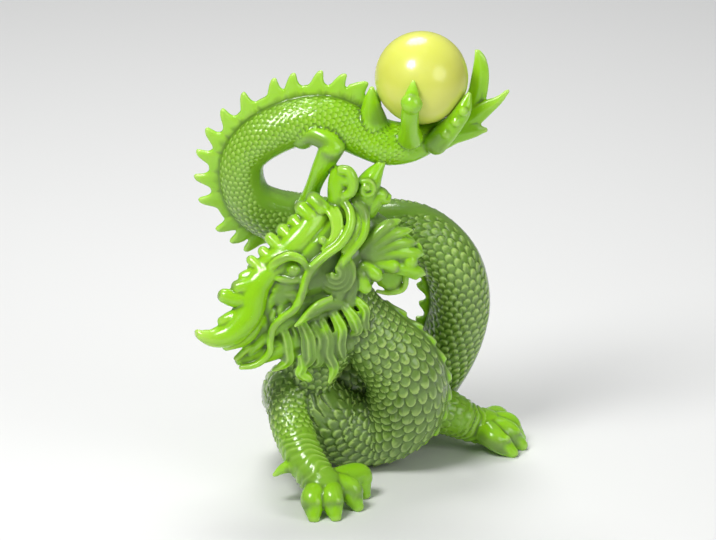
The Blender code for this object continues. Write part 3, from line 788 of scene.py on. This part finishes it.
def add_tail_flames(clay):
    """Three flat flame leaves behind the ball, each fluted along its length."""
    flames = (
        (
            (23.0, 110.0, 3, 4.0), (29.4, 114.6, 4, 4.4), (33.2, 121.5, 5, 3.3), (34.5, 128.0, 5, 2.9),
            (34.4, 132.6, 5, 2.0), (33.5, 135.3, 5, 0.8),
        ),
        (
            (23.0, 110.4, 2, 3.6), (31.0, 115.0, 3, 3.2), (36.2, 118.8, 3, 2.5), (39.6, 120.9, 3, 1.5),
            (42.4, 123.6, 3, 0.7),
        ),
        ((22.0, 110.0, 2, 3.4), (29.4, 111.8, 2, 2.9), (33.4, 112.4, 2, 2.1), (35.8, 112.5, 2, 1.0)),
    )
    broad = heading(0.7, -0.7, 0)
    for flame in flames:
        clay.tube(flame, broad=broad, flatness=0.6, flutes=6, flute_depth=0.16, sides=24)


def smooth_step(low, high, values):
    """0 below low, 1 above high and an even slope between."""
    share = np.clip((values - low) / (high - low), 0, 1)
    return share * share * (3 - 2 * share)


def scale_height(rows, columns):
    """Height of overlapping U-shaped scales, 0 to 1. Each covers the root of the next one behind it."""
    best = np.zeros(len(rows))
    for older in (0, 1):
        row = np.floor(rows) - older
        shift = 0.5 * np.mod(row, 2)
        side = 2 * np.mod(columns - shift, 1) - 1
        from_root = rows - row
        edge = 1 + 0.94 * np.sqrt(np.maximum(1 - side**2, 0)) if older else 2.0
        covers = smooth_step(0.0, 0.14, edge - from_root)
        shape = 0.84 * from_root / 2 + 0.16 * (1 - side**4)
        best = best * (1 - covers) + shape * covers
    return best


def carve_scales(corners, body):
    """How far each corner moves out along its normal for the body's scales."""
    position, run, turn, off = body.locate(corners)
    finer = smooth_step(17.4, 17.6, position)
    across_count = np.where(finer > 0.5, 24, 20)
    pitch = np.interp(position, *SCALE_PITCH)
    order = np.argsort(run)
    steps = np.diff(run[order], prepend=run[order][0])
    rows = np.zeros(len(run))
    rows[order] = np.cumsum(steps / pitch[order])
    columns = turn / (2 * math.pi) * across_count
    height = scale_height(rows, columns)
    lift = np.interp(position, *SCALE_LIFT)
    spread = np.degrees(np.abs(turn))
    strip = smooth_step(11, 16, spread)
    belly_edge = np.interp(position, *BELLY_EDGE)
    belly = 1 - smooth_step(belly_edge, belly_edge + 9, spread)
    on_skin = (1 - smooth_step(0.5, 1.1, np.abs(off))) * smooth_step(0.2, 0.6, position)
    return (height - 0.7) * lift * strip * belly * on_skin


def carve_limb_skin(corners, points, back, pitch, across_count, lift, reach):
    """Smaller scales on a limb up to reach, counted in its points, and wrinkles beyond it."""
    limb = Limb(points, ((0, back), (len(points) - 1, back)))
    position, run, turn, off = limb.locate(corners)
    height = scale_height(run / pitch, turn / (2 * math.pi) * across_count)
    fade = 1 - smooth_step(reach - 0.7, reach, position)
    on_skin = (1 - smooth_step(0.5, 1.1, np.abs(off))) * (position > 0.01)
    bend = run + 0.9 * np.sin(2 * turn + run / 3) + 0.4 * np.sin(5 * turn)
    wrinkles = 0.16 * np.sin(2 * math.pi * bend / 2.3) * (1 - fade) * (position < len(points) - 1.3)
    return ((height - 0.7) * lift * fade + wrinkles) * on_skin


def carve_hollow_floor(corners):
    """Scales on the bulge inside the front coil, in rings round its crown."""
    centre, radius = place(*COIL_HOLLOW[:3]), COIL_HOLLOW[3]
    crown = heading(-0.5, 0.7, 1.0)
    arm = corners - centre
    distance = np.linalg.norm(arm, axis=1)
    side = unit(np.cross(crown, (0.0, 0.0, 1.0)))
    lean = np.arccos(np.clip((arm @ crown) / np.maximum(distance, 1e-9), -1, 1))
    turn = np.arctan2(arm @ np.cross(crown, side), arm @ side)
    height = scale_height(lean * radius / 2.4, turn / (2 * math.pi) * 20)
    on_skin = (1 - smooth_step(0.3, 0.8, np.abs(distance - radius))) * smooth_step(0.25, 0.4, lean)
    return (height - 0.7) * 0.9 * on_skin


def build_dragon_mesh(clay, name):
    """Fuse all forms into one closed skin."""
    data = bpy.data.meshes.new(name)
    data.from_pydata((np.concatenate(clay.corners) * STEP).tolist(), [], clay.faces)
    data.validate()
    made = bpy.data.objects.new(name, data)
    bpy.context.scene.collection.objects.link(made)
    fuse = made.modifiers.new("fuse_forms", "REMESH")
    fuse.mode = "VOXEL"
    fuse.voxel_size = CARVING_GRAIN * STEP
    settle_modifiers(made)
    return made


def settle_modifiers(thing):
    """Turn the object's modifiers into its mesh."""
    bpy.context.view_layer.update()
    evaluated = thing.evaluated_get(bpy.context.evaluated_depsgraph_get())
    result = bpy.data.meshes.new_from_object(evaluated)
    thing.modifiers.clear()
    thing.data = result


def read_corners(data):
    """The mesh's corners, in steps."""
    corners = np.zeros(len(data.vertices) * 3, np.float32)
    data.vertices.foreach_get("co", corners)
    return corners.reshape(-1, 3).astype(float) / STEP


def read_normals(data):
    """The mesh's corner normals."""
    normals = np.zeros(len(data.vertices) * 3, np.float32)
    data.vertex_normals.foreach_get("vector", normals)
    return normals.reshape(-1, 3).astype(float)


def write_corners(data, corners):
    """Put corners given in steps back into the mesh."""
    data.vertices.foreach_set("co", (corners * STEP).astype(np.float32).ravel())
    data.update()


def read_edges(data):
    """Pairs of corners that an edge joins."""
    edges = np.zeros(len(data.edges) * 2, np.int32)
    data.edges.foreach_get("vertices", edges)
    return edges.reshape(-1, 2)


def neighbour_mean(values, edges, count):
    """The mean of each corner's neighbours."""
    degree = np.maximum(np.bincount(edges.ravel(), minlength=count), 1)
    totals = []
    for column in values.reshape(count, -1).T:
        onto_first = np.bincount(edges[:, 0], column[edges[:, 1]], count)
        onto_second = np.bincount(edges[:, 1], column[edges[:, 0]], count)
        totals.append((onto_first + onto_second) / degree)
    return np.array(totals).T.reshape(values.shape)


def keep_largest_shell(data):
    """The mesh without its loose shells and closed bubbles."""
    count = len(data.vertices)
    edges = read_edges(data)
    label = np.arange(count)
    while True:
        low = np.minimum(label[edges[:, 0]], label[edges[:, 1]])
        fresh = label.copy()
        np.minimum.at(fresh, edges[:, 0], low)
        np.minimum.at(fresh, edges[:, 1], low)
        fresh = fresh[fresh]
        fresh = fresh[fresh]
        if (fresh == label).all():
            break
        label = fresh
    kept = label == np.bincount(label).argmax()
    faces = np.zeros(len(data.polygons) * 4, np.int32)
    if len(data.loops) != len(faces):
        raise ValueError("the fused skin isn't all quads")
    data.loops.foreach_get("vertex_index", faces)
    faces = faces.reshape(-1, 4)
    faces = faces[kept[faces[:, 0]]]
    renumber = np.cumsum(kept) - 1
    corners = read_corners(data)[kept] * STEP
    clean = bpy.data.meshes.new(data.name)
    clean.from_pydata(corners.tolist(), [], renumber[faces].tolist())
    return clean


def add_attribute(data, name, values):
    """A value at every corner that the finish reads."""
    layer = data.attributes.new(name, "FLOAT", "POINT")
    layer.data.foreach_set("value", values.astype(np.float32))


def measure_thinness(data):
    """Near 1 where the resin is thin behind a corner, down to about 0.1 where it is thick."""
    corners, normals = read_corners(data), read_normals(data)
    faces = [tuple(face.vertices) for face in data.polygons]
    tree = BVHTree.FromPolygons(corners.tolist(), faces)
    depth = np.full(len(corners), DEEPEST_LOOK)
    for index, (corner, normal) in enumerate(zip(corners, normals)):
        start = Vector(corner - normal * 0.05)
        hit = tree.ray_cast(start, Vector(-normal), DEEPEST_LOOK)
        if hit[3] is not None:
            depth[index] = hit[3]
    edges = read_edges(data)
    thin = np.exp(-depth / LIGHT_REACH)
    for _ in range(THINNESS_ROUNDS):
        thin = 0.4 * thin + 0.6 * neighbour_mean(thin, edges, len(thin))
    return thin


def measure_extra_light(corners, body):
    """The light through the crest, the nose, the far leg, and the body from the hip to the claw."""
    position, run, turn, off = body.locate(corners)
    near_claw = np.interp(position, (23, 27.5, 30), (0.0, 0.2, 0.3))
    light = near_claw * (1 - smooth_step(0.8, 1.8, np.abs(off)))
    for points, share in EXTRA_LIGHT:
        limb = Limb(points, ((0, (0, 0, -1)), (len(points) - 1, (0, 0, -1))))
        off = limb.locate(corners)[3]
        light = np.maximum(light, share * (1 - smooth_step(0.6, 2.2, np.abs(off))))
    return light


def measure_hollows(data, rounds):
    """Above 0 in grooves and below 0 on rims, from how a corner lies among its neighbours."""
    corners, normals = read_corners(data), read_normals(data)
    edges = read_edges(data)
    smooth = corners
    for _ in range(rounds):
        smooth = neighbour_mean(smooth, edges, len(corners))
    return ((smooth - corners) * normals).sum(1)


def build_dragon():
    """The cast figure: all forms fused, carved with scales and fitted to its solid."""
    clay = Clay()
    body = Limb(BODY, BACK_SIDE)
    clay.tube(BODY, sides=40)
    clay.lump(*COIL_HOLLOW, sides=32)
    add_spines(clay, body)
    forms = (
        add_skull, add_mane, add_muzzle, add_crest, add_eye, add_mouth, add_antlers, add_whiskers,
        add_cheek_curl, add_ear_fan, add_cheek_leaf, add_beard, add_front_leg, add_right_leg,
        add_hind_strut, add_holding_claw, add_tail_flames,
    )
    for add_form in forms:
        add_form(clay)
    dragon = build_dragon_mesh(clay, "dragon_carved")
    dragon.data = keep_largest_shell(dragon.data)
    edges = read_edges(dragon.data)
    corners = read_corners(dragon.data)
    for _ in range(SKIN_ROUNDS):
        corners = 0.5 * corners + 0.5 * neighbour_mean(corners, edges, len(corners))
    write_corners(dragon.data, corners)
    normals = read_normals(dragon.data)
    move = carve_scales(corners, body)
    for skin in LIMB_SKINS:
        move += carve_limb_skin(corners, *skin)
    move += carve_hollow_floor(corners)
    corners = corners + normals * move[:, None]
    write_corners(dragon.data, corners)
    # Light through the resin, which the finish paints into the colour as painted light
    light = measure_thinness(dragon.data) + measure_extra_light(corners, body)
    add_attribute(dragon.data, "painted_glow", light)
    # Groove and hollow measures, which the finish uses for painted shade in grooves and hollows and a painted
    # highlight on rims
    add_attribute(dragon.data, "groove", measure_hollows(dragon.data, GROOVE_ROUNDS))
    add_attribute(dragon.data, "hollow", measure_hollows(dragon.data, HOLLOW_ROUNDS))
    thin = dragon.modifiers.new("thin_faces", "DECIMATE")
    thin.ratio = min(1.0, MOST_TRIANGLES / (2 * len(dragon.data.polygons)))
    settle_modifiers(dragon)
    write_corners(dragon.data, fit_to_solid(read_corners(dragon.data)))
    dragon.data.shade_smooth()
    return dragon


def fit_to_solid(corners):
    """Move the sculptor's grid onto the solid, leave room for the ball, and keep inside the solid's box."""
    low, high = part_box("ball")
    ball = np.array((low + high) / 2) / STEP
    shift = ball - ball_centre()
    corners = corners + np.array((shift[0], shift[1], 0))
    arm = corners - ball
    distance = np.linalg.norm(arm, axis=1)
    clear = BALL_RADIUS + BALL_GAP
    inside = distance < clear
    corners[inside] = ball + arm[inside] * (clear / distance[inside])[:, None]
    low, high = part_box("dragon")
    return np.clip(corners, np.array(low) / STEP, np.array(high) / STEP)


def build_ball():
    """The polished ball, a finer sphere than its solid and within the solid's box."""
    low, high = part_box("ball")
    centre = (low + high) / 2
    bpy.ops.mesh.primitive_uv_sphere_add(
        segments=96, ring_count=48, radius=BALL_RADIUS * STEP, location=centre
    )
    ball = bpy.context.object
    ball.name = "polished_ball"
    ball.data.transform(ball.matrix_world)
    ball.matrix_world.identity()
    corners = read_corners(ball.data)
    write_corners(ball.data, np.clip(corners, np.array(low) / STEP, np.array(high) / STEP))
    ball.data.shade_smooth()
    return ball


class Paint:
    """One value in a finish. Adding, multiplying and so on make the nodes that do it."""

    def __init__(self, finish, socket):
        self.finish = finish
        self.socket = socket

    def join(self, kind, first, second):
        return self.finish.node("ShaderNodeMath", {"operation": kind}, (first, second))

    def __add__(self, other):
        return self.join("ADD", self, other)

    def __radd__(self, other):
        return self.join("ADD", other, self)

    def __sub__(self, other):
        return self.join("SUBTRACT", self, other)

    def __rsub__(self, other):
        return self.join("SUBTRACT", other, self)

    def __mul__(self, other):
        return self.join("MULTIPLY", self, other)

    def __rmul__(self, other):
        return self.join("MULTIPLY", other, self)


class Finish:
    """A material and its node tree, with one way to add any node."""

    def __init__(self, name):
        self.material = bpy.data.materials.new(name)
        self.material.use_nodes = True
        self.tree = self.material.node_tree
        self.shader = self.tree.nodes["Principled BSDF"]

    def node(self, kind, settings=None, inputs=(), output=0):
        """Add a node: its settings first, then the values or links of its sockets."""
        made = self.tree.nodes.new(kind)
        for name, value in (settings or {}).items():
            setattr(made, name, value)
        pairs = inputs.items() if isinstance(inputs, dict) else enumerate(inputs)
        for key, value in pairs:
            self.feed(made.inputs[key], value)
        return Paint(self, made.outputs[output])

    def feed(self, socket, value):
        """Link a value that changes over the surface, or set a plain one."""
        if isinstance(value, Paint):
            self.tree.links.new(value.socket, socket)
        else:
            socket.default_value = value

    def attribute(self, name):
        return self.node("ShaderNodeAttribute", {"attribute_name": name}, output="Fac")

    def spread(self, value, low, high):
        """A value brought from low to high into 0 to 1."""
        settings = {"clamp": True}
        return self.node("ShaderNodeMapRange", settings, {"Value": value, "From Min": low, "From Max": high})

    def blend(self, share, first, second):
        """One colour over another by a share."""
        settings = {"data_type": "RGBA"}
        return self.node("ShaderNodeMix", settings, {0: share, 6: first, 7: second}, output=2)

    def noise(self, scale, detail, roughness=0.5):
        place_on = self.node("ShaderNodeTexCoord", output="Object")
        return self.node(
            "ShaderNodeTexNoise", None,
            {"Vector": place_on, "Scale": scale, "Detail": detail, "Roughness": roughness},
        )

    def bump(self, strength, distance, height):
        """Fine unevenness of the surface, for Normal."""
        inputs = {"Strength": strength, "Distance": distance, "Height": height}
        return self.node("ShaderNodeBump", None, inputs, output="Normal")

    def set(self, **values):
        for name, value in values.items():
            self.feed(self.shader.inputs[name.replace("_", " ")], value)


def green_resin():
    """Glossy translucent resin, with light and shade painted into its colour: painted light through the
    resin, bright where it is thin and dark where thick; painted shade in hollows and grooves; a painted
    highlight, pale, on rims.
    """
    finish = Finish("green_resin")
    thin = finish.attribute("painted_glow")
    groove = finish.attribute("groove")
    hollow = finish.attribute("hollow")
    cloud = finish.noise(70.0, 3.0)
    # Painted light through the resin: thin parts and the parts in EXTRA_LIGHT are painted bright green, thick
    # parts stay dark green
    lit = finish.spread(thin + cloud * 0.12 - 0.06, 0.1, 0.48)
    colour = finish.blend(lit, (0.15, 0.27, 0.045, 1), (0.29, 0.63, 0.004, 1))
    # Painted glow: the thinnest parts are painted pale, as light shining through them
    pale = finish.spread(thin, 0.68, 0.92)
    colour = finish.blend(pale * 0.5, colour, (0.50, 0.76, 0.10, 1))
    # Painted shade: broad hollows are darkened, where shade falls
    hollow_shade = finish.spread(hollow, 0.02, 0.55)
    colour = finish.blend(hollow_shade * 0.85, colour, (0.045, 0.085, 0.015, 1))
    # Painted shade: fine grooves between scales and strands are darkened, where shade falls
    groove_shade = finish.spread(groove, 0.01, 0.1)
    colour = finish.blend(groove_shade * 0.6, colour, (0.075, 0.15, 0.02, 1))
    # Painted highlight: raised rims are painted pale, as where light catches them
    rim = finish.spread(groove * -1.0, 0.02, 0.13)
    colour = finish.blend(rim * 0.6, colour, (0.56, 0.78, 0.2, 1))
    grain = finish.noise(900.0, 4.0, 0.6)
    ripples = finish.noise(260.0, 2.0)
    bump = finish.bump(0.22, 0.0004, grain * 0.35 + ripples)
    finish.set(
        Base_Color=colour,
        Roughness=finish.spread(grain, 0.2, 0.8) * 0.14 + 0.16,
        Normal=bump,
        IOR=1.5,
        Subsurface_Weight=0.2,
        Subsurface_Radius=(0.5, 1.0, 0.12),
        Subsurface_Scale=0.002,
        Coat_Weight=0.25,
        Coat_Roughness=0.08,
    )
    return finish.material


def yellow_ball():
    """Waxy glossy yellow, faintly clouded."""
    finish = Finish("yellow_ball")
    cloud = finish.noise(60.0, 2.0)
    colour = finish.blend(finish.spread(cloud, 0.3, 0.7), (0.66, 0.69, 0.09, 1), (0.73, 0.76, 0.15, 1))
    grain = finish.noise(700.0, 2.0)
    finish.set(
        Base_Color=colour,
        Roughness=grain * 0.08 + 0.2,
        Normal=finish.bump(0.04, 0.0003, grain),
        IOR=1.5,
        Subsurface_Weight=0.4,
        Subsurface_Radius=(1.0, 0.9, 0.3),
        Subsurface_Scale=0.004,
        Coat_Weight=0.3,
        Coat_Roughness=0.06,
    )
    return finish.material


def pale_floor():
    """A plain pale floor."""
    bpy.ops.mesh.primitive_plane_add(size=12)
    floor = bpy.context.object
    floor.name = "floor"
    finish = Finish("floor_paint")
    finish.set(Base_Color=(0.78, 0.78, 0.77, 1), Roughness=0.7)
    floor.data.materials.append(finish.material)


def soft_light(name, bearing, height, distance, size, power):
    """A soft lamp that points at the figure. Bearing turns from the front view."""
    lamp = bpy.data.lights.new(name, "AREA")
    lamp.shape = "DISK"
    lamp.size = size
    lamp.energy = power
    made = bpy.data.objects.new(name, lamp)
    bpy.context.scene.collection.objects.link(made)
    turn, rise = math.radians(bearing) + VIEW_TURN, math.radians(height)
    back = Vector((-math.sin(turn) * math.cos(rise), -math.cos(turn) * math.cos(rise), math.sin(rise)))
    made.location = Vector((0, 0, LAMP_TARGET_HEIGHT)) + back * distance
    made.rotation_euler = back.to_track_quat("Z", "Y").to_euler()


def studio():
    """Floor, lamps and a pale surround."""
    pale_floor()
    world = bpy.data.worlds.new("surround")
    world.use_nodes = True
    background = world.node_tree.nodes["Background"]
    background.inputs["Color"].default_value = (0.9, 0.92, 0.95, 1)
    background.inputs["Strength"].default_value = SURROUND_STRENGTH
    bpy.context.scene.world = world
    bpy.context.scene.view_settings.view_transform = "Standard"
    for lamp in LAMPS:
        soft_light(*lamp)


def front_camera():
    """A long lens at the front view, square to the sculptor's grid."""
    lens = bpy.data.cameras.new("front_view")
    lens.lens = 600
    lens.sensor_width = 36
    lens.clip_end = 100
    camera = bpy.data.objects.new("front_view", lens)
    bpy.context.scene.collection.objects.link(camera)
    low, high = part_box("ball")
    shift = np.array((low + high) / 2) / STEP - ball_centre()
    middle = place(*FRAME_MIDDLE) + np.array((shift[0], shift[1], 0))
    back = Vector((
        -math.sin(VIEW_TURN) * math.cos(VIEW_TILT),
        -math.cos(VIEW_TURN) * math.cos(VIEW_TILT),
        math.sin(VIEW_TILT),
    ))
    distance = FRAME_WIDTH / 2 / (lens.sensor_width / 2 / lens.lens)
    camera.location = (Vector(middle) + back * distance) * STEP
    camera.rotation_euler = back.to_track_quat("Z", "Y").to_euler()
    bpy.context.scene.camera = camera


dragon = build_dragon()
dragon.data.materials.clear()
dragon.data.materials.append(green_resin())
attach(dragon, "root")
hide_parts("dragon")

ball = build_ball()
ball.data.materials.append(yellow_ball())
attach(ball, "root")
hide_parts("ball")

studio()
front_camera()
